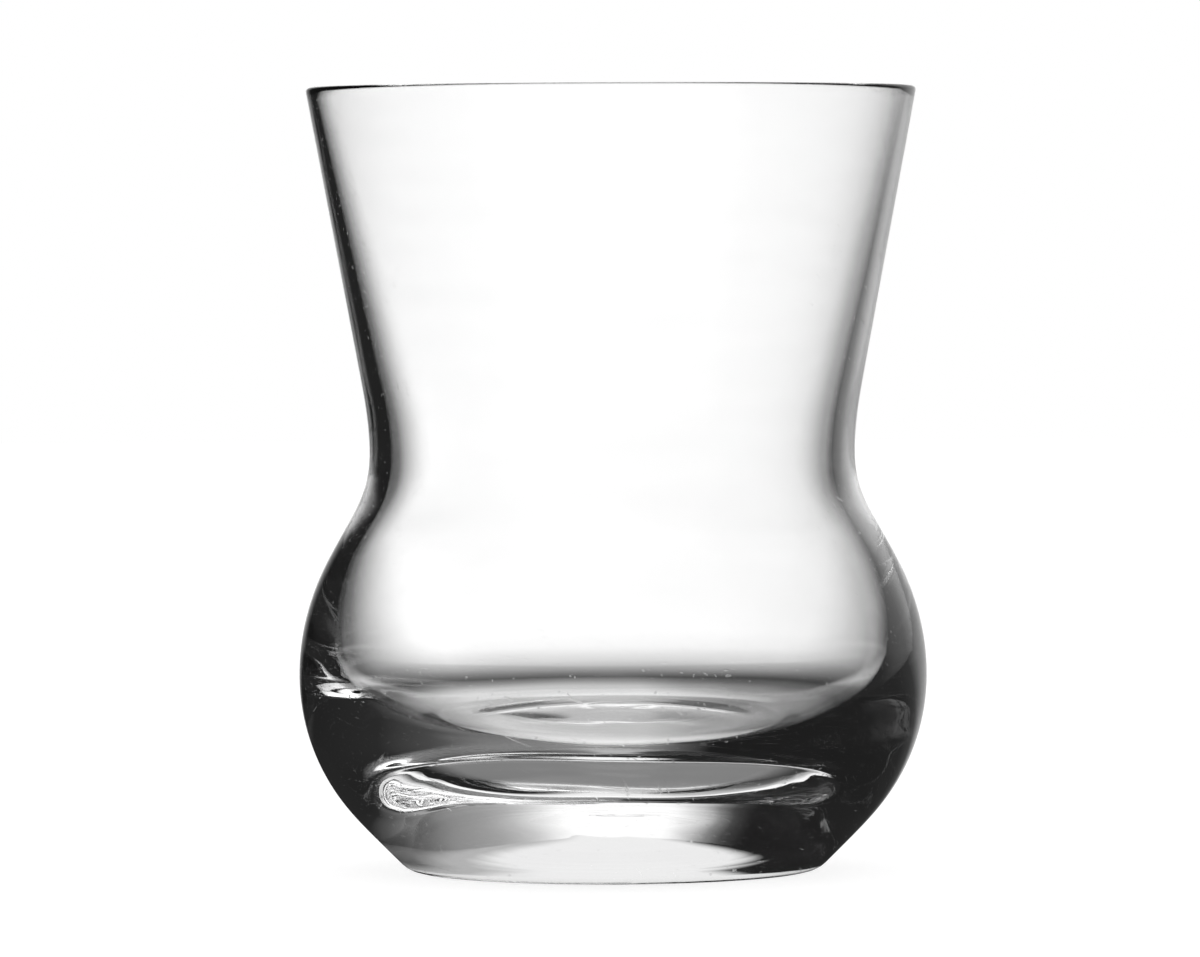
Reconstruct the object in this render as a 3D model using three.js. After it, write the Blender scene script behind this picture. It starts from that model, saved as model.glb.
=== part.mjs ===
// A waisted rocks glass: one piece of clear glass, round about +Z.
// Millimetres. The origin is the middle of the foot ring, on the surface that the glass stands on.
import * as THREE from "three";

// Outside of the glass
const HEIGHT = 100; // foot ring to the top of the lip
const RIM_DIAMETER = 77.8; // over the lip
const WAIST_DIAMETER = 61.8;
const WAIST_HEIGHT = 52.4;
const WAIST_FLARE_RADIUS = 45; // arc from the waist up into the straight flare
const SHOULDER_SLOPE = 30; // degrees from upright, of the straight stretch between bulb and waist
const SHOULDER_SHARE = 0.73; // part of the rounds from bulb to waist that bulges
const BULB_DIAMETER = 80.3;
const BULB_HEIGHT = 25; // height of the widest part
const BASE_STRAIGHT = 0.076; // part of the round under the bulb that a straight stretch takes away
const FOOT_DIAMETER = 49.6; // outer edge of the flat foot ring
const FOOT_ROUND = 3.3; // radius between the foot ring and the bulb
const FOOT_RING_WIDTH = 4; // flat ring that the glass stands on
const PUNT_DEPTH = 1; // hollow under the base, at the middle

// Inside of the glass
const LIP_WALL = 1.1; // the lip is rounded over this whole width
const WAIST_WALL = 2.8;
const WAIST_DROP_INSIDE = 0.8; // how much lower the cavity is narrowest
const WAIST_FLARE_RADIUS_INSIDE = 38;
const BULB_WALL = 4.4; // between the widest parts of bulb and cavity
const SHOULDER_SHARE_INSIDE = 0.73;
const FLOOR_THICKNESS = 13.5; // solid base, under the lowest ring of the floor
const FLOOR_KICK = 1.5; // rise of the floor from that ring to the middle
const FLOOR_CORNER_WIDTH = 16.5;
const FLOOR_CORNER_HEIGHT = 14.5;
const FLOOR_EASE = 0.45; // how gently the floor rises at both ends of the kick

// How finely the round stretches are cut
const ARC_SAG = 0.04; // furthest that a straight cut lies from its arc
const FLOOR_CUTS = 8;
const TURN_SEGMENTS = 60;

const UP = Math.PI / 2;
const DOWN = -UP;
const lipRadius = LIP_WALL / 2;
const lip = new THREE.Vector2(RIM_DIAMETER / 2 - lipRadius, HEIGHT - lipRadius);

// Points along an arc, from one angle to the other, both ends included.
function arc(centre, radius, from, to, radiusUp = radius) {
  const step = 2 * Math.acos(1 - ARC_SAG / Math.max(radius, radiusUp));
  const cuts = Math.ceil(Math.abs(to - from) / step);
  const curve = new THREE.EllipseCurve(centre.x, centre.y, radius, radiusUp, from, to, to < from);
  return curve.getPoints(cuts);
}

// Direction of the normal, towards the outside of the glass, of the straight line that touches two circles.
// A radius counts as positive where its circle lies on the inner side of the line.
function touchingNormal(low, lowRadius, high, highRadius) {
  const across = new THREE.Vector2().subVectors(high, low);
  return across.angle() - Math.acos((lowRadius - highRadius) / across.length());
}

// Side of the glass from the widest part of the bulb up to the lip: a bulging arc, a straight slope, a hollow
// arc to the waist, a hollow arc above the waist, then a straight flare that touches the lip's round.
// With no room for the straight slope, the bulging arc runs into the hollow one.
function side({ bulb, waist, share, flareRadius, lipSide }) {
  const drop = bulb.x - waist.x;
  const rise = waist.y - bulb.y;
  const turn = Math.min(THREE.MathUtils.degToRad(SHOULDER_SLOPE), 2 * Math.atan2(drop, rise));
  const bothRadii = (rise * Math.sin(turn) - drop * Math.cos(turn)) / (1 - Math.cos(turn));
  const shoulderRadius = share * bothRadii;
  const neckRadius = bothRadii - shoulderRadius;
  const shoulder = new THREE.Vector2(bulb.x - shoulderRadius, bulb.y);
  const neck = new THREE.Vector2(waist.x + neckRadius, waist.y);
  const flare = new THREE.Vector2(waist.x + flareRadius, waist.y);
  const normal = touchingNormal(flare, -flareRadius, lip, lipSide * lipRadius);
  const points = [
    ...arc(shoulder, shoulderRadius, 0, turn),
    ...arc(neck, neckRadius, Math.PI + turn, Math.PI),
    ...arc(flare, flareRadius, Math.PI, Math.PI + normal).slice(1),
  ];
  return { points, normal };
}

const bulb = new THREE.Vector2(BULB_DIAMETER / 2, BULB_HEIGHT);
const waist = new THREE.Vector2(WAIST_DIAMETER / 2, WAIST_HEIGHT);
const outside = side({
  bulb,
  waist,
  share: SHOULDER_SHARE,
  flareRadius: WAIST_FLARE_RADIUS,
  lipSide: 1,
});

const corner = new THREE.Vector2(
  bulb.x - BULB_WALL - FLOOR_CORNER_WIDTH,
  FLOOR_THICKNESS + FLOOR_CORNER_HEIGHT,
);
const inside = side({
  bulb: new THREE.Vector2(bulb.x - BULB_WALL, corner.y),
  waist: new THREE.Vector2(waist.x - WAIST_WALL, WAIST_HEIGHT - WAIST_DROP_INSIDE),
  share: SHOULDER_SHARE_INSIDE,
  flareRadius: WAIST_FLARE_RADIUS_INSIDE,
  lipSide: -1,
});

// Lower half of the bulb: an arc from the widest part, then a straight stretch that touches the foot's round.
const foot = new THREE.Vector2(FOOT_DIAMETER / 2, FOOT_ROUND);
const footInset = bulb.x - foot.x;
const footDrop = bulb.y - foot.y;
const fullRadius = (footInset ** 2 + footDrop ** 2 - FOOT_ROUND ** 2) / (2 * (footInset - FOOT_ROUND));
const bulbRadius = fullRadius * (1 - BASE_STRAIGHT);
const bulbCentre = new THREE.Vector2(bulb.x - bulbRadius, bulb.y);
const footTurn = touchingNormal(foot, FOOT_ROUND, bulbCentre, bulbRadius);

// Hollow under the base, a shallow cap inside the foot ring.
const puntRadius = foot.x - FOOT_RING_WIDTH;
const puntArcRadius = (puntRadius ** 2 + PUNT_DEPTH ** 2) / (2 * PUNT_DEPTH);
const puntCentre = new THREE.Vector2(0, PUNT_DEPTH - puntArcRadius);
const puntTurn = Math.asin(puntRadius / puntArcRadius);

// Floor of the cavity: level at the lowest ring, where the corner ends, and level again at the raised middle.
const middle = FLOOR_THICKNESS + FLOOR_KICK;
const floor = new THREE.CubicBezierCurve(
  new THREE.Vector2(corner.x, FLOOR_THICKNESS),
  new THREE.Vector2(corner.x * (1 - FLOOR_EASE), FLOOR_THICKNESS),
  new THREE.Vector2(corner.x * FLOOR_EASE, middle),
  new THREE.Vector2(0, middle),
);

const outline = [
  ...arc(puntCentre, puntArcRadius, UP, UP - puntTurn),
  ...arc(foot, FOOT_ROUND, DOWN, footTurn),
  ...arc(bulbCentre, bulbRadius, footTurn, 0),
  ...outside.points.slice(1),
  ...arc(lip, lipRadius, outside.normal, UP),
  ...arc(lip, lipRadius, UP, inside.normal + Math.PI).slice(1),
  ...inside.points.toReversed(),
  ...arc(corner, FLOOR_CORNER_WIDTH, 0, DOWN, FLOOR_CORNER_HEIGHT).slice(1),
  ...floor.getPoints(FLOOR_CUTS).slice(1),
];
outline[0].x = 0;
outline.at(-1).x = 0;

const turned = new THREE.LatheGeometry(outline, TURN_SEGMENTS);
turned.rotateX(Math.PI / 2);

const clearGlass = new THREE.MeshStandardMaterial({
  name: "clear_glass",
  color: 0xf4f6f6,
  roughness: 0.03,
  metalness: 0,
  transparent: true,
  opacity: 0.35,
});

const tumbler = new THREE.Mesh(turned, clearGlass);
tumbler.name = "tumbler";

const rocksGlass = new THREE.Group();
rocksGlass.name = "rocks_glass";
rocksGlass.add(tumbler);

export default rocksGlass;
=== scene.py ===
"""Looks of the waisted rocks glass: one smooth piece of clear glass, turned about +Z, in metres."""
import math

import bpy
import numpy as np
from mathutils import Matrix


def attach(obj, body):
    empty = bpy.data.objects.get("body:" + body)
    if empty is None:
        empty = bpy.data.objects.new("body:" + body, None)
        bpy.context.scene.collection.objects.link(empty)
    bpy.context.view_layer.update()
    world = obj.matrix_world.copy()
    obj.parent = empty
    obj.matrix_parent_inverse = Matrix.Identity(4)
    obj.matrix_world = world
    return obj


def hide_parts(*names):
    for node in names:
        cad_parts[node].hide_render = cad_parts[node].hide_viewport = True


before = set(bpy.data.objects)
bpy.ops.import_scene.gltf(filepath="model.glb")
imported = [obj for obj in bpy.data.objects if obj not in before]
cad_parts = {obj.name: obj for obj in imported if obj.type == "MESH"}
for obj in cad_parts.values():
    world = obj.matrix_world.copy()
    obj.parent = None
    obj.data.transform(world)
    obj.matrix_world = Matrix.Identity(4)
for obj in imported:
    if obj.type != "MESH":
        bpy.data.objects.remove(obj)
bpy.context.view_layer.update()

MM = 0.001

# Sizes of the glass in millimetres, the same as the solid's
HEIGHT = 100.0
RIM_DIAMETER = 77.8
WAIST_DIAMETER = 61.8
WAIST_HEIGHT = 52.4
WAIST_FLARE_RADIUS = 45.0
SHOULDER_SLOPE = math.radians(30)
SHOULDER_SHARE = 0.73
BULB_DIAMETER = 80.3
BULB_HEIGHT = 25.0
BASE_STRAIGHT = 0.076
FOOT_DIAMETER = 49.6
FOOT_ROUND = 3.3
FOOT_RING_WIDTH = 4.0
PUNT_DEPTH = 1.0
LIP_WALL = 1.1
WAIST_WALL = 2.8
WAIST_DROP_INSIDE = 0.8
WAIST_FLARE_RADIUS_INSIDE = 38.0
BULB_WALL = 4.4
SHOULDER_SHARE_INSIDE = 0.73
FLOOR_THICKNESS = 13.5
FLOOR_KICK = 1.5
FLOOR_CORNER_WIDTH = 16.5
FLOOR_CORNER_HEIGHT = 14.5
FLOOR_EASE = 0.45

# How finely the glass is cut
WALL_STEP = 1.0
BASE_STEP = 0.7
FLOOR_STEP = 0.25
LIP_STEP = 0.12
TURN_CUTS = 220
WALL_EASE = 2.2  # how far the changes of curvature along the walls are softened
EASE_STEP = 0.25
EASE_REACH = 4  # spreads of the bell curve that count
CURVE_POINTS = 64  # along each curve, before it is cut evenly
NO_STEP = 1e-9  # points nearer than this are one

# Marks of hand work on the inside, in millimetres
SWIRL_DEPTH = 0.05  # spiral round the middle of the floor
SWIRL_PITCH = 6.0
SWIRL_REACH = 5.5
CURL_DEPTH = 0.05  # small curl before the middle of the floor
CURL_AT = (2.0, -10.0)
CURL_REACH = (6.0, 5.0)
RING_DEPTH = 0.012  # rings left where the floor turns up
RING_PITCH = 1.8
RING_RADIUS = 16.0
RING_REACH = 6.0
FOLD_DEPTH = 0.12  # slow folds round the corner of the floor
FOLD_RADIUS = 24.0
FOLD_REACH = 7.0
AXIS_CALM = 1.5  # radius inside which the marks die away
MARKS_FADE = 6.0  # height below the bulb's widest part over which they come in
CAVITY_SHIFT = -0.15  # sideways, at the bulb
RIPPLE = 0.02  # height of the slow ripple in the finish

UP = math.pi / 2
DOWN = -UP
LIP_RADIUS = LIP_WALL / 2
LIP = np.array([RIM_DIAMETER / 2 - LIP_RADIUS, HEIGHT - LIP_RADIUS])


def arc(centre, radius, start, end, radius_up=None):
    """Points of an arc: centre plus the radii times the cosine and sine of an even run of angles."""
    angle = np.linspace(start, end, CURVE_POINTS)
    up = radius if radius_up is None else radius_up
    return np.stack([centre[0] + radius * np.cos(angle), centre[1] + up * np.sin(angle)], 1)


def touching_normal(low, low_radius, high, high_radius):
    """Angle of the outward normal of the line that touches two circles: the angle of the line between the
    centres, less the arc cosine of the radii's difference over the distance between the centres."""
    across = np.subtract(high, low)
    lean = math.acos((low_radius - high_radius) / math.hypot(*across))
    return math.atan2(across[1], across[0]) - lean


def side(bulb, waist, share, flare_radius, lip_side):
    """Wall from the bulb up to the lip: a bulging arc, a straight slope, a hollow arc to the waist and a
    hollow arc above it. The sum of the first two radii is the rise times the sine of the slope's angle less
    the drop times its cosine, over one less that cosine."""
    drop = bulb[0] - waist[0]
    rise = waist[1] - bulb[1]
    turn = min(SHOULDER_SLOPE, 2 * math.atan2(drop, rise))
    both = (rise * math.sin(turn) - drop * math.cos(turn)) / (1 - math.cos(turn))
    bulging = share * both
    hollow = both - bulging
    flare = (waist[0] + flare_radius, waist[1])
    normal = touching_normal(flare, -flare_radius, LIP, lip_side * LIP_RADIUS)
    wall = np.concatenate([
        arc((bulb[0] - bulging, bulb[1]), bulging, 0, turn),
        arc((waist[0] + hollow, waist[1]), hollow, math.pi + turn, math.pi),
        arc(flare, flare_radius, math.pi, math.pi + normal)[1:],
    ])
    return wall, normal


def even_steps(line, step):
    """The same line with its points an even distance apart: both coordinates are read off at even lengths
    along it."""
    length = np.concatenate([[0], np.cumsum(np.hypot(*np.diff(line, axis=0).T))])
    keep = np.concatenate([[True], np.diff(length) > NO_STEP])
    at = np.linspace(0, length[-1], int(round(length[-1] / step)) + 1)
    return np.stack([np.interp(at, length[keep], line[keep, i]) for i in (0, 1)], 1)


def eased(line, spread):
    """A line with the changes of its curvature softened: each point is the mean of its neighbours along the
    line, weighed by a bell curve of the given spread. Each end is carried on by its own half turn, so it
    stays put."""
    line = even_steps(line, EASE_STEP)
    reach = int(EASE_REACH * spread / EASE_STEP)
    bell = np.exp(-0.5 * (np.arange(-reach, reach + 1) * EASE_STEP / spread) ** 2)
    bell /= bell.sum()
    before = 2 * line[0] - line[reach:0:-1]
    after = 2 * line[-1] - line[-2:-reach - 2:-1]
    whole = np.concatenate([before, line, after])
    return np.stack([np.convolve(whole[:, i], bell, "valid") for i in (0, 1)], 1)


def glass_outline():
    """Half section of the glass, from the middle of the hollow under the base round the outside, over the
    lip and down the inside to the middle of the floor. The floor is a cubic curve, level at both ends. The
    long walls are eased, and the foot and the lip stay as drawn."""
    bulb = np.array([BULB_DIAMETER / 2, BULB_HEIGHT])
    waist = np.array([WAIST_DIAMETER / 2, WAIST_HEIGHT])
    outer_wall, outer_normal = side(bulb, waist, SHOULDER_SHARE, WAIST_FLARE_RADIUS, 1)

    foot = np.array([FOOT_DIAMETER / 2, FOOT_ROUND])
    inset, drop = bulb - foot
    full = (inset ** 2 + drop ** 2 - FOOT_ROUND ** 2) / (2 * (inset - FOOT_ROUND))
    under = full * (1 - BASE_STRAIGHT)
    under_centre = bulb - [under, 0]
    foot_turn = touching_normal(foot, FOOT_ROUND, under_centre, under)

    punt = foot[0] - FOOT_RING_WIDTH
    punt_arc = (punt ** 2 + PUNT_DEPTH ** 2) / (2 * PUNT_DEPTH)
    base = np.concatenate([
        arc((0, PUNT_DEPTH - punt_arc), punt_arc, UP, UP - math.asin(punt / punt_arc)),
        arc(foot, FOOT_ROUND, DOWN, foot_turn),
    ])
    outer = np.concatenate([
        base[-1:],
        arc(under_centre, under, foot_turn, 0),
        outer_wall[1:],
        LIP + LIP_RADIUS * np.array([[math.cos(outer_normal), math.sin(outer_normal)]]),
    ])

    corner = np.array([bulb[0] - BULB_WALL - FLOOR_CORNER_WIDTH, FLOOR_THICKNESS + FLOOR_CORNER_HEIGHT])
    cavity = np.array([bulb[0] - BULB_WALL, corner[1]])
    inner_wall, inner_normal = side(
        cavity, waist - [WAIST_WALL, WAIST_DROP_INSIDE], SHOULDER_SHARE_INSIDE, WAIST_FLARE_RADIUS_INSIDE, -1)
    lip = arc(LIP, LIP_RADIUS, outer_normal, inner_normal + math.pi)

    t = np.linspace(0, 1, CURVE_POINTS)[:, None]
    middle = FLOOR_THICKNESS + FLOOR_KICK
    floor = (
        (1 - t) ** 3 * np.array([corner[0], FLOOR_THICKNESS])
        + 3 * (1 - t) ** 2 * t * np.array([corner[0] * (1 - FLOOR_EASE), FLOOR_THICKNESS])
        + 3 * (1 - t) * t ** 2 * np.array([corner[0] * FLOOR_EASE, middle])
        + t ** 3 * np.array([0, middle])
    )
    inner = np.concatenate([
        lip[-1:],
        inner_wall[::-1],
        arc(corner, FLOOR_CORNER_WIDTH, 0, DOWN, FLOOR_CORNER_HEIGHT)[1:],
        floor[1:],
    ])
    across = np.concatenate([inner, inner[-2::-1] * [-1, 1]])
    across = eased(across, WALL_EASE)
    inner = across[:len(across) // 2 + 1]

    turn_up = np.argmax(inner[:, 1] < corner[1])
    outside = np.concatenate([
        even_steps(base, BASE_STEP)[:-1],
        even_steps(eased(outer, WALL_EASE), WALL_STEP)[:-1],
        even_steps(lip, LIP_STEP)[:-1],
    ])
    inside = np.concatenate([
        even_steps(inner[:turn_up + 1], WALL_STEP)[:-1],
        even_steps(inner[turn_up:], FLOOR_STEP),
    ])
    outside[0, 0] = inside[-1, 0] = 0
    return outside, inside


def hand_marks(radius, height, turn):
    """How far the inside is pushed square to its slope, from its radius, its height and the turn: a narrow
    spiral ridge whose phase is the turn less the radius over the pitch, narrow rings whose phase wanders with
    the turn, and slow folds of two, three and seven to the turn. Each fades out by a bell curve of the
    radius. A small curl has its own middle, with a phase of its own turn less four times its own distance.
    All of them end at the axis and above the corner of the floor."""
    low = np.clip((BULB_HEIGHT - height) / MARKS_FADE, 0, 1)
    start = 1 - np.exp(-(radius / AXIS_CALM) ** 2)
    phase = turn - 2 * math.pi * radius / SWIRL_PITCH + 0.5 * np.sin(2 * turn)
    swirl = np.exp(2 * np.cos(phase) - 2) * np.exp(-(radius / SWIRL_REACH) ** 2)
    wander = 1.4 * np.sin(turn + 0.7) + 0.8 * np.sin(3 * turn)
    rings = np.exp(1.5 * np.cos(2 * math.pi * radius / RING_PITCH + wander) - 1.5)
    rings *= 0.6 + 0.4 * np.sin(2 * turn + radius / 3)
    rings *= np.exp(-((radius - RING_RADIUS) / RING_REACH) ** 2)
    folds = np.sin(2 * turn + 0.4)
    folds = folds + 0.6 * np.sin(3 * turn - radius / 6) + 0.35 * np.sin(7 * turn + radius / 3)
    folds *= np.exp(-((radius - FOLD_RADIUS) / FOLD_REACH) ** 2)
    across = (radius * np.cos(turn) - CURL_AT[0]) / CURL_REACH[0]
    along = (radius * np.sin(turn) - CURL_AT[1]) / CURL_REACH[1]
    apart = np.hypot(across, along)
    curl = np.cos(np.arctan2(along, across) - 4 * apart) * apart * np.exp(1 - apart ** 2)
    marks = SWIRL_DEPTH * swirl + RING_DEPTH * rings + FOLD_DEPTH * folds + CURL_DEPTH * curl
    return start * low * marks


def blown(name, outside, inside, cuts):
    """A closed round body: radius times the cosine and sine of the turn, and height, over a grid of outline
    points and turn angles, with one point at each end on the axis. The inside is moved sideways a little and
    pushed square to its slope by the marks of hand work."""
    turn = np.linspace(0, 2 * math.pi, cuts, endpoint=False)
    slope = np.gradient(inside, axis=0)
    slope /= np.hypot(*slope.T)[:, None]
    out = np.stack([slope[:, 1], -slope[:, 0]], 1)
    marks = hand_marks(inside[:, :1], inside[:, 1:], turn)
    aside = CAVITY_SHIFT * np.clip((HEIGHT - inside[:, 1:]) / (HEIGHT - BULB_HEIGHT), 0, 1)
    outline = np.concatenate([outside, inside])
    radius = np.repeat(outline[:, :1], cuts, 1)
    z = np.repeat(outline[:, 1:], cuts, 1)
    radius[len(outside):] += marks * out[:, :1]
    z[len(outside):] += marks * out[:, 1:]
    x = radius * np.cos(turn)
    y = radius * np.sin(turn)
    x[len(outside):] += aside
    grid = np.stack([x, y, z], 2) * MM
    rows = len(outline) - 2
    points = np.concatenate([grid[1:-1].reshape(-1, 3), grid[0, :1], grid[-1, :1]])
    row, col = np.meshgrid(np.arange(rows - 1), np.arange(cuts), indexing="ij")
    on = (col + 1) % cuts
    quads = np.stack([row * cuts + col, row * cuts + on, (row + 1) * cuts + on, (row + 1) * cuts + col], 2)
    here = np.arange(cuts)
    there = (here + 1) % cuts
    last = (rows - 1) * cuts
    low = np.stack([np.full(cuts, rows * cuts), there, here], 1)
    high = np.stack([np.full(cuts, rows * cuts + 1), last + here, last + there], 1)
    mesh = bpy.data.meshes.new(name)
    mesh.from_pydata(points.tolist(), [], quads.reshape(-1, 4).tolist() + low.tolist() + high.tolist())
    mesh.polygons.foreach_set("use_smooth", np.ones(len(mesh.polygons), dtype=bool))
    mesh.update()
    piece = bpy.data.objects.new(name, mesh)
    bpy.context.scene.collection.objects.link(piece)
    return piece


# Sockets of a node that mixes colours: share, first and second, and the result
MIX_SOCKETS = (0, 6, 7)
MIX_RESULT = 2


class Wiring:
    """Short ways to add nodes to one node tree and join them."""

    def __init__(self, tree):
        self.nodes, self.links = tree.nodes, tree.links

    def add(self, kind, **settings):
        """A new node of one kind, with its settings."""
        node = self.nodes.new("ShaderNode" + kind)
        for name, value in settings.items():
            setattr(node, name, value)
        return node

    def feed(self, socket, value):
        """Joins a socket to another one, or gives it a plain value."""
        if isinstance(value, bpy.types.NodeSocket):
            self.links.new(value, socket)
        else:
            socket.default_value = value

    def maths(self, operation, *values):
        """One operation on one or two numbers."""
        node = self.add("Math", operation=operation)
        for socket, value in zip(node.inputs, values):
            self.feed(socket, value)
        return node.outputs[0]

    def ramp(self, value, stops):
        """Grey level read off straight lines between stops, each a place and a level."""
        low, high = stops[0][0], stops[-1][0]
        span = self.add("MapRange")
        for name, setting in (("Value", value), ("From Min", low), ("From Max", high)):
            self.feed(span.inputs[name], setting)
        levels = self.add("ValToRGB")
        self.feed(levels.inputs[0], span.outputs[0])
        marks = levels.color_ramp.elements
        for _ in stops[2:]:
            marks.new(0.5)
        for mark, (at, level) in zip(marks, stops):
            mark.position = (at - low) / (high - low)
            mark.color = (level, level, level, 1)
        return levels.outputs[0]

    def noise(self, place, scale, detail, turned=(0, 0, 0)):
        """Cloudy noise with its own scale along each axis, per metre, turned by three angles first."""
        spread = self.add("Mapping")
        self.feed(spread.inputs["Vector"], place)
        spread.inputs["Rotation"].default_value = turned
        stretch = self.add("VectorMath", operation="MULTIPLY")
        self.feed(stretch.inputs[0], spread.outputs[0])
        stretch.inputs[1].default_value = scale
        cloud = self.add("TexNoise")
        self.feed(cloud.inputs["Vector"], stretch.outputs[0])
        cloud.inputs["Scale"].default_value = 1
        cloud.inputs["Detail"].default_value = detail
        return cloud.outputs[0]

    def mixed(self, kind, share, one, other):
        """Two grey levels mixed in one way, as far as the share says."""
        node = self.add("Mix", data_type="RGBA", blend_type=kind)
        for at, value in zip(MIX_SOCKETS, (share, one, other)):
            self.feed(node.inputs[at], value)
        return node.outputs[MIX_RESULT]

    def either(self, choice, no, yes):
        """The first grey level where the choice is 0, the second where it is 1."""
        return self.mixed("MIX", choice, no, yes)

    def times(self, one, other):
        """Product of two grey levels."""
        return self.mixed("MULTIPLY", 1.0, one, other)

    def blend(self, choice, no, yes):
        """The first shader where the choice is 0, the second where it is 1."""
        node = self.add("MixShader")
        for socket, value in zip(node.inputs, (choice, no, yes)):
            self.feed(socket, value)
        return node.outputs[0]


GLASS_INDEX = 1.52  # how strongly the glass bends light
# Finish of the glass: how closely each pattern repeats along x, y and z, per metre, and how far it is turned
CORDS = (40, 40, 260)
CORD_LEVELS = ((0, 1), (.45, 1), (.75, .985), (1, .985))
RIPPLES = (70, 70, 70)
LONG_HAIRS = (2600, 60, 1900)
LONG_HAIRS_TURN = (0.5, 0.9, 0.2)
SHORT_HAIRS = (2200, 2600, 150)
SHORT_HAIRS_TURN = (0.2, 1.2, 0.8)
HAIR_LEVELS = ((0, 0), (.8, 0), (.84, 1), (1, 1))
SPECKS = 180
SPECK_LEVELS = ((0, 1), (.018, 1), (.03, 0), (1, 0))
PATCHES = (30, 30, 30)
PATCH_LEVELS = ((0, 0), (.55, 0), (.65, 1), (1, 1))
MARK_ROUGHNESS = 0.22
SCRATCH_DEPTH = 0.1  # share of the ripple's height


def clear_glass():
    """Polished clear glass: faint cords of slightly darker glass, a very slow ripple, and a few hair
    scratches and patches of specks that are rough."""
    finish = bpy.data.materials.new("clear_glass")
    finish.use_nodes = True
    wire = Wiring(finish.node_tree)
    shader = wire.nodes["Principled BSDF"]
    shader.inputs["IOR"].default_value = GLASS_INDEX
    shader.inputs["Transmission Weight"].default_value = 1
    place = wire.add("TexCoord").outputs["Object"]
    cords = wire.noise(place, CORDS, 3)
    wire.feed(shader.inputs["Base Color"], wire.ramp(cords, CORD_LEVELS))
    ripple = wire.noise(place, RIPPLES, 1)
    long_hairs = wire.noise(place, LONG_HAIRS, 0, LONG_HAIRS_TURN)
    short_hairs = wire.noise(place, SHORT_HAIRS, 0, SHORT_HAIRS_TURN)
    hairs = wire.maths("MAXIMUM", long_hairs, short_hairs)
    scratched = wire.ramp(hairs, HAIR_LEVELS)
    specks = wire.add("TexVoronoi")
    wire.feed(specks.inputs["Vector"], place)
    specks.inputs["Scale"].default_value = SPECKS
    dots = wire.ramp(specks.outputs["Distance"], SPECK_LEVELS)
    patches = wire.ramp(wire.noise(place, PATCHES, 1), PATCH_LEVELS)
    dusty = wire.maths("MULTIPLY", dots, patches)
    marked = wire.maths("MAXIMUM", scratched, dusty)
    wire.feed(shader.inputs["Roughness"], wire.maths("MULTIPLY", marked, MARK_ROUGHNESS))
    relief = wire.maths("SUBTRACT", ripple, wire.maths("MULTIPLY", scratched, SCRATCH_DEPTH))
    bump = wire.add("Bump")
    bump.inputs["Distance"].default_value = RIPPLE * MM
    wire.feed(bump.inputs["Height"], relief)
    wire.feed(shader.inputs["Normal"], bump.outputs["Normal"])
    return finish


DEGREES = 180 / math.pi
WHITE = (1, 1, 1, 1)
# Grey levels round the studio, by degrees to the right of straight behind the glass
WALL_LEVELS = ((-180, 1), (-46, 1), (-40, .02), (-22, .03), (-18, .16), (-15, .48), (-12, .8), (-9, 1.14),
               (-5, 1.02), (6, .98), (10, .92), (14, .68), (18, .5), (22, .32), (27, .06), (40, .04), (46, 1),
               (180, 1))
# Light after one to three bounces inside the glass
BOUNCE_LEVELS = ((-180, .35), (-130, .35), (-116, .01), (-24, .01), (-20, .045), (-17, .19), (-14.5, .48),
                 (-11.5, .72), (-9, .95), (8, .95), (9.5, .85), (12, .68), (14.5, .54), (17.5, .42),
                 (22, .33), (30, .26), (36, .15), (45, .05), (60, .02), (116, .01), (130, .35), (180, .35))
# Light after four bounces, and light that the outside throws back
FAINT_LEVELS = ((-180, .1), (-130, .1), (-116, .01), (-24, .01), (-16, .08), (-8, .2), (10, .22), (20, .17),
                (35, .13), (50, .06), (70, .02), (116, .01), (130, .1), (180, .1))
SHINE_LEVELS = ((-180, .02), (-22, .02), (-12, .35), (-5, 1), (5, 1), (12, .6), (30, .45), (42, .1),
                (60, .03), (90, .02), (180, .02))
# Light that the cavity's floor mirrors, by degrees above the level, as a share of the bounced light
MIRROR_LEVELS = ((-90, .4), (-2, .45), (2, .6), (6, .7), (10, 1), (14, 1.1), (22, .5), (90, .5))
# Light that was caught in the glass for more bounces, to the right and by degrees above the level
CAUGHT_LEVELS = ((-180, .014), (40, .014), (60, .5), (80, .9), (100, .5), (120, 1.4), (150, 2.2),
                 (160, 1.4), (175, .2), (180, .1))
CAUGHT_HEIGHTS = ((-90, 0), (14, 0), (25, 1), (90, 1))
DARK = (0.014, 0.014, 0.014, 1)
# Grey levels by degrees above the level
HEIGHT_LEVELS = ((-90, 1), (60, 1), (90, .6))
THROUGH_GLASS = 1.17  # makes up for what the walls of the glass reflect away
# Where the kinds of light part, by how often it has bounced or passed a surface
ANY = 0.5
FAINT_BOUNCES = 3.5
CAUGHT_BOUNCES = 4.5
MIRROR_PASSES = 3.5


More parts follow.
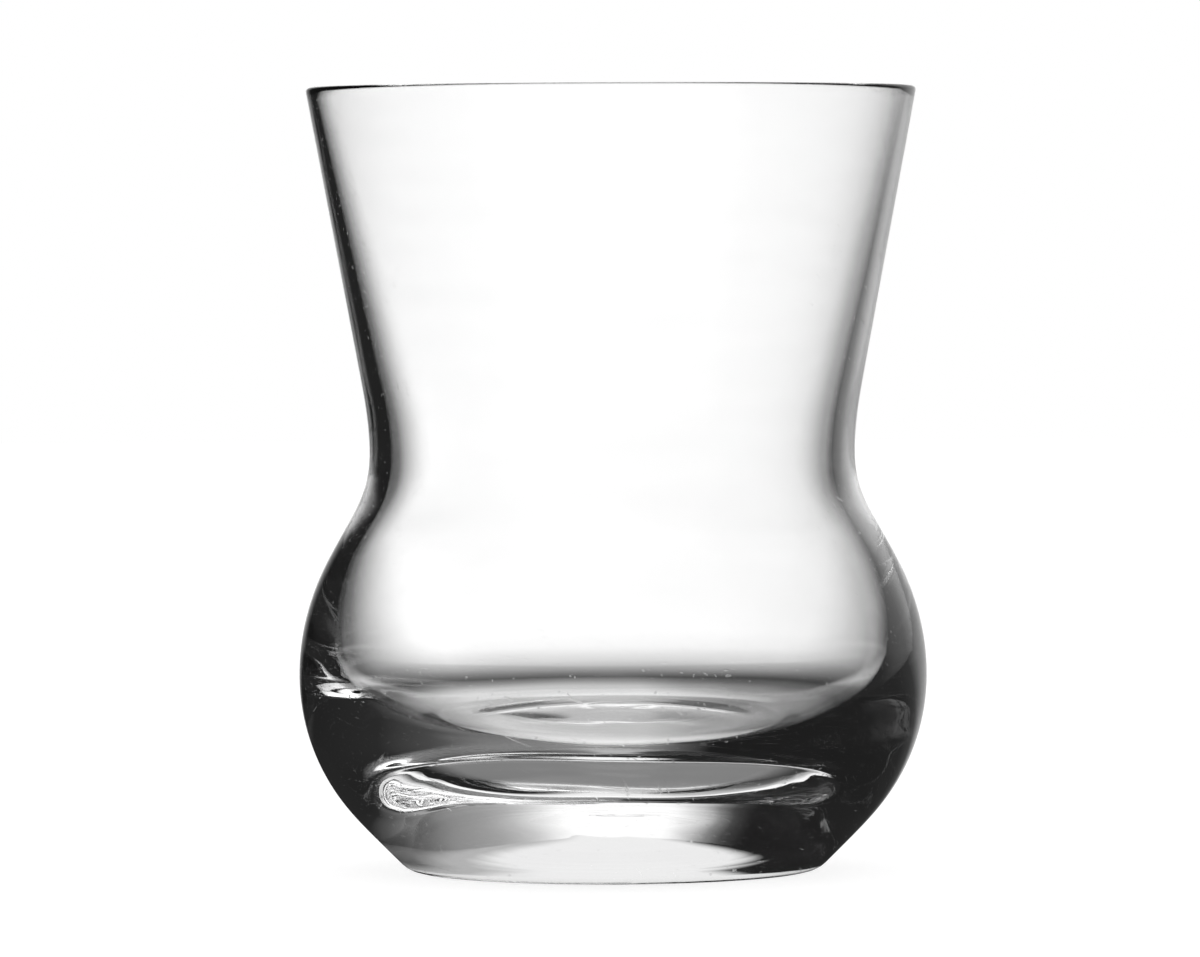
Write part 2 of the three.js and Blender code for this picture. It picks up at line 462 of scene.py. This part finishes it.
def studio():
    """White behind the glass, with dark sides that draw its edges. Light that has bounced inside the glass
    finds its own edges between the white and the dark. The camera sees the backdrop plain white."""
    world = bpy.data.worlds.new("studio")
    bpy.context.scene.world = world
    world.use_nodes = True
    world.node_tree.nodes.clear()
    wire = Wiring(world.node_tree)
    split = wire.add("SeparateXYZ")
    wire.feed(split.inputs[0], wire.add("TexCoord").outputs["Generated"])
    x, y, z = split.outputs
    right = wire.maths("MULTIPLY", wire.maths("ARCTAN2", x, y), DEGREES)
    height = wire.maths("MULTIPLY", wire.maths("ARCSINE", z), DEGREES)
    path = wire.add("LightPath")
    bounced = wire.ramp(right, BOUNCE_LEVELS)
    mirrored = wire.times(bounced, wire.ramp(height, MIRROR_LEVELS))
    caught = wire.either(wire.ramp(height, CAUGHT_HEIGHTS), DARK, wire.ramp(right, CAUGHT_LEVELS))
    faint = wire.ramp(right, FAINT_LEVELS)
    shine = wire.ramp(right, SHINE_LEVELS)
    sides = by_path(wire, path, wire.ramp(right, WALL_LEVELS), bounced, faint, mirrored, caught, shine)
    room = wire.add("Background")
    wire.feed(room.inputs["Color"], wire.times(sides, wire.ramp(height, HEIGHT_LEVELS)))
    room.inputs["Strength"].default_value = THROUGH_GLASS
    backdrop = wire.add("Background")
    backdrop.inputs["Color"].default_value = WHITE
    plain = wire.maths("MAXIMUM", path.outputs["Is Camera Ray"], path.outputs["Is Diffuse Ray"])
    shown = wire.blend(plain, room.outputs[0], backdrop.outputs[0])
    wire.feed(wire.add("OutputWorld").inputs[0], shown)


def by_path(wire, path, straight, bounced, faint, mirrored, caught, shine):
    """Grey level for light straight through the glass, bounced inside it, faint from four bounces, mirrored
    by the cavity's floor, caught for more bounces, or only thrown back by the outside."""
    through = path.outputs["Transmission Depth"]
    turns = path.outputs["Glossy Depth"]
    inside = wire.either(wire.maths("GREATER_THAN", turns, FAINT_BOUNCES), bounced, faint)
    inside = wire.either(wire.maths("GREATER_THAN", through, ANY), shine, inside)
    inside = wire.either(wire.maths("GREATER_THAN", through, MIRROR_PASSES), inside, mirrored)
    inside = wire.either(wire.maths("GREATER_THAN", turns, CAUGHT_BOUNCES), inside, caught)
    return wire.either(wire.maths("GREATER_THAN", turns, ANY), straight, inside)


# The table, in metres. Only light that comes by way of the glass sees its grey levels, which are painted
# shade and a painted sheen
TABLE_RADIUS = 2.0
TABLE_CUTS = 96
TABLE_DROP = 0.0001  # keeps the table clear of the foot ring
# Painted shade on the table for light that bounced inside the glass, by degrees round it
TABLE_BOUNCE_LEVELS = ((-180, .2), (-120, .2), (-105, .012), (-17, .012), (-14, .2), (-10, .6), (-7, .8),
                       (5, .8), (9, .6), (14, .45), (20, .45), (27, .35), (36, .16), (45, .1), (70, .02),
                       (105, .012), (120, .2), (180, .2))
SIGHT_POINT = 0.1  # before the glass, from which places on the table are taken as right or left
# Painted shadow round the glass: grey levels in rings, by metres from its axis, darkest in a ring a little
# outside the glass
TABLE_SHADOW_RINGS = ((0, .5), (.03, .55), (.043, .62), (.05, .44), (.056, .2), (.062, .07), (.069, .17),
                (.077, .34), (.082, .42), (.086, .5), (.092, .66), (.115, .93), (.15, 1), (2, 1))
TABLE_BOW = 12.0  # how the rings on the table draw in at the sides, per metre
# Painted shade: near the glass the table is darker to the right, by metres
UNDER_GLASS = ((0, 1), (.058, 1), (.067, 0), (2, 0))
UNDER_SHADE_LEVELS = ((-.1, 1), (.004, 1), (.011, .6), (.018, .42), (.1, .4))
TABLE_GLOW = 0.8
TABLE_COLOUR = (0.3, 0.3, 0.3, 1)
# painted shade: share of the bounced levels for light that the cavity's floor mirrors
TABLE_MIRROR = (0.6, 0.6, 0.6, 1)
# The table is pale to light from above and has a painted dark sheen, a painted reflection of the studio's
# dark sides, at low angles, first near the glass
TABLE_SHEEN = ((0, 0), (.18, 0), (.36, 1), (1, 1))
FAR_SHEEN = ((0, 0), (.6, 0), (.74, 1), (1, 1))
TABLE_NEAR = ((0, 1), (.1, 1), (.16, 0), (2, 0))
TABLE_BEHIND = ((-.2, 0), (-.08, 0), (-.01, 1), (.2, 1))  # by metres behind the glass's axis
# Beside the glass the painted sheen gives way to pale: by degrees from straight behind, and by metres from
# the axis
BESIDE_TURN = ((0, 1), (46, 1), (62, 0), (180, 0))
BESIDE_OUT = ((0, 1), (.045, 1), (.06, 0), (2, 0))


def table_top():
    """A pale round table top: one face whose edge is the radius times the cosine and sine of an even turn.
    The camera sees it pale with the glass's shadow. Light through the glass sees painted shade on it: painted
    shadow rings round the glass, painted dark sides and a painted dark sheen at low angles."""
    turn = np.linspace(0, 2 * math.pi, TABLE_CUTS, endpoint=False)
    drop = np.full(TABLE_CUTS, -TABLE_DROP)
    edge = np.stack([TABLE_RADIUS * np.cos(turn), TABLE_RADIUS * np.sin(turn), drop], 1)
    mesh = bpy.data.meshes.new("table_top")
    mesh.from_pydata(edge.tolist(), [], [list(range(TABLE_CUTS))])
    table = bpy.data.objects.new("table_top", mesh)
    bpy.context.scene.collection.objects.link(table)
    paper = bpy.data.materials.new("white_table")
    paper.use_nodes = True
    paper.node_tree.nodes.clear()
    wire = Wiring(paper.node_tree)
    path = wire.add("LightPath")
    place = wire.add("TexCoord").outputs["Object"]
    flat = wire.add("VectorMath", operation="LENGTH")
    wire.feed(flat.inputs[0], place)
    split = wire.add("SeparateXYZ")
    wire.feed(split.inputs[0], place)
    x, y, _ = split.outputs
    beyond = wire.maths("ADD", y, SIGHT_POINT)
    right = wire.maths("MULTIPLY", wire.maths("ARCTAN2", x, beyond), DEGREES)
    around = wire.maths("MULTIPLY", wire.maths("ARCTAN2", x, y), DEGREES)
    out = flat.outputs["Value"]
    low = wire.add("LayerWeight").outputs["Facing"]
    # painted reflection of the studio's dark sides on the table, near the glass and at low angles
    sided = wire.maths("MAXIMUM", wire.ramp(out, TABLE_NEAR), wire.ramp(low, FAR_SHEEN))
    shaded = wire.either(sided, WHITE, wire.ramp(right, WALL_LEVELS))
    bowed = wire.maths("ADD", out, wire.maths("MULTIPLY", wire.maths("MULTIPLY", x, x), TABLE_BOW))
    # painted shadow in rings round the glass
    shaded = wire.times(shaded, wire.ramp(bowed, TABLE_SHADOW_RINGS))
    # painted shade: darker to the right near the glass
    under = wire.either(wire.ramp(bowed, UNDER_GLASS), WHITE, wire.ramp(x, UNDER_SHADE_LEVELS))
    shaded = wire.times(shaded, under)
    # painted dark sheen at low angles, behind the glass and not beside it
    painted_sheen = wire.maths("MULTIPLY", wire.ramp(low, TABLE_SHEEN), wire.ramp(y, TABLE_BEHIND))
    beside = wire.ramp(wire.maths("ABSOLUTE", around), BESIDE_TURN)
    kept = wire.maths("MAXIMUM", beside, wire.ramp(out, BESIDE_OUT))
    painted_sheen = wire.maths("MULTIPLY", painted_sheen, kept)
    shaded = wire.either(painted_sheen, WHITE, shaded)
    # painted shade on the table for light that bounced inside the glass
    bounced = wire.ramp(around, TABLE_BOUNCE_LEVELS)
    faint = wire.ramp(around, FAINT_LEVELS)
    shine = wire.ramp(around, SHINE_LEVELS)
    sides = by_path(wire, path, shaded, bounced, faint, wire.times(bounced, TABLE_MIRROR), DARK, shine)
    glow = wire.add("Emission")
    glow.inputs["Strength"].default_value = TABLE_GLOW
    cover = wire.add("BsdfDiffuse")
    cover.inputs["Color"].default_value = TABLE_COLOUR
    seen = wire.add("AddShader")
    wire.feed(seen.inputs[0], glow.outputs[0])
    wire.feed(seen.inputs[1], cover.outputs[0])
    through = wire.add("Emission")
    wire.feed(through.inputs["Color"], sides)
    through.inputs["Strength"].default_value = THROUGH_GLASS
    shown = wire.blend(path.outputs["Is Camera Ray"], through.outputs[0], seen.outputs[0])
    wire.feed(wire.add("OutputMaterial").inputs[0], shown)
    mesh.materials.append(paper)


# Camera, as in the picture: the glass's axis is a little right of the middle
FRAME_WIDTH = 1200
FRAME_HEIGHT = 957
PIXEL = 0.00012762  # metres that a pixel covers at the glass
SENSOR_WIDTH = 36
CAMERA_DISTANCE = 1.1
CAMERA_HEIGHT = 0.085
CAMERA_ROLL = 0.0041
AXIS_COLUMN = 611.2
BASE_ROW = 870.2


def photo_camera():
    """A long lens, a little lower than the lip and tilted down a little. Its length is the sensor's width
    times the distance, over the width that the picture covers at the glass."""
    lens = bpy.data.cameras.new("camera")
    camera = bpy.data.objects.new("camera", lens)
    bpy.context.scene.collection.objects.link(camera)
    bpy.context.scene.camera = camera
    lens.sensor_width = SENSOR_WIDTH
    lens.sensor_fit = "HORIZONTAL"
    lens.lens = lens.sensor_width * CAMERA_DISTANCE / (FRAME_WIDTH * PIXEL)
    middle = (BASE_ROW - FRAME_HEIGHT / 2) * PIXEL
    tilt = math.atan((CAMERA_HEIGHT - middle) / CAMERA_DISTANCE)
    camera.location = ((FRAME_WIDTH / 2 - AXIS_COLUMN) * PIXEL, -CAMERA_DISTANCE, CAMERA_HEIGHT)
    camera.rotation_euler = (math.pi / 2 - tilt, CAMERA_ROLL, 0)


# Light in a thick glass bounces many times before it leaves
ALL_BOUNCES = 48
INSIDE_BOUNCES = 24

bpy.context.scene.view_settings.view_transform = "Standard"
bpy.context.scene.cycles.max_bounces = ALL_BOUNCES
bpy.context.scene.cycles.glossy_bounces = INSIDE_BOUNCES
bpy.context.scene.cycles.transmission_bounces = INSIDE_BOUNCES
photo_camera()
studio()
table_top()

tumbler = blown("tumbler_glass", *glass_outline(), TURN_CUTS)
tumbler.data.materials.append(clear_glass())
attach(tumbler, "root")
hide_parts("tumbler")
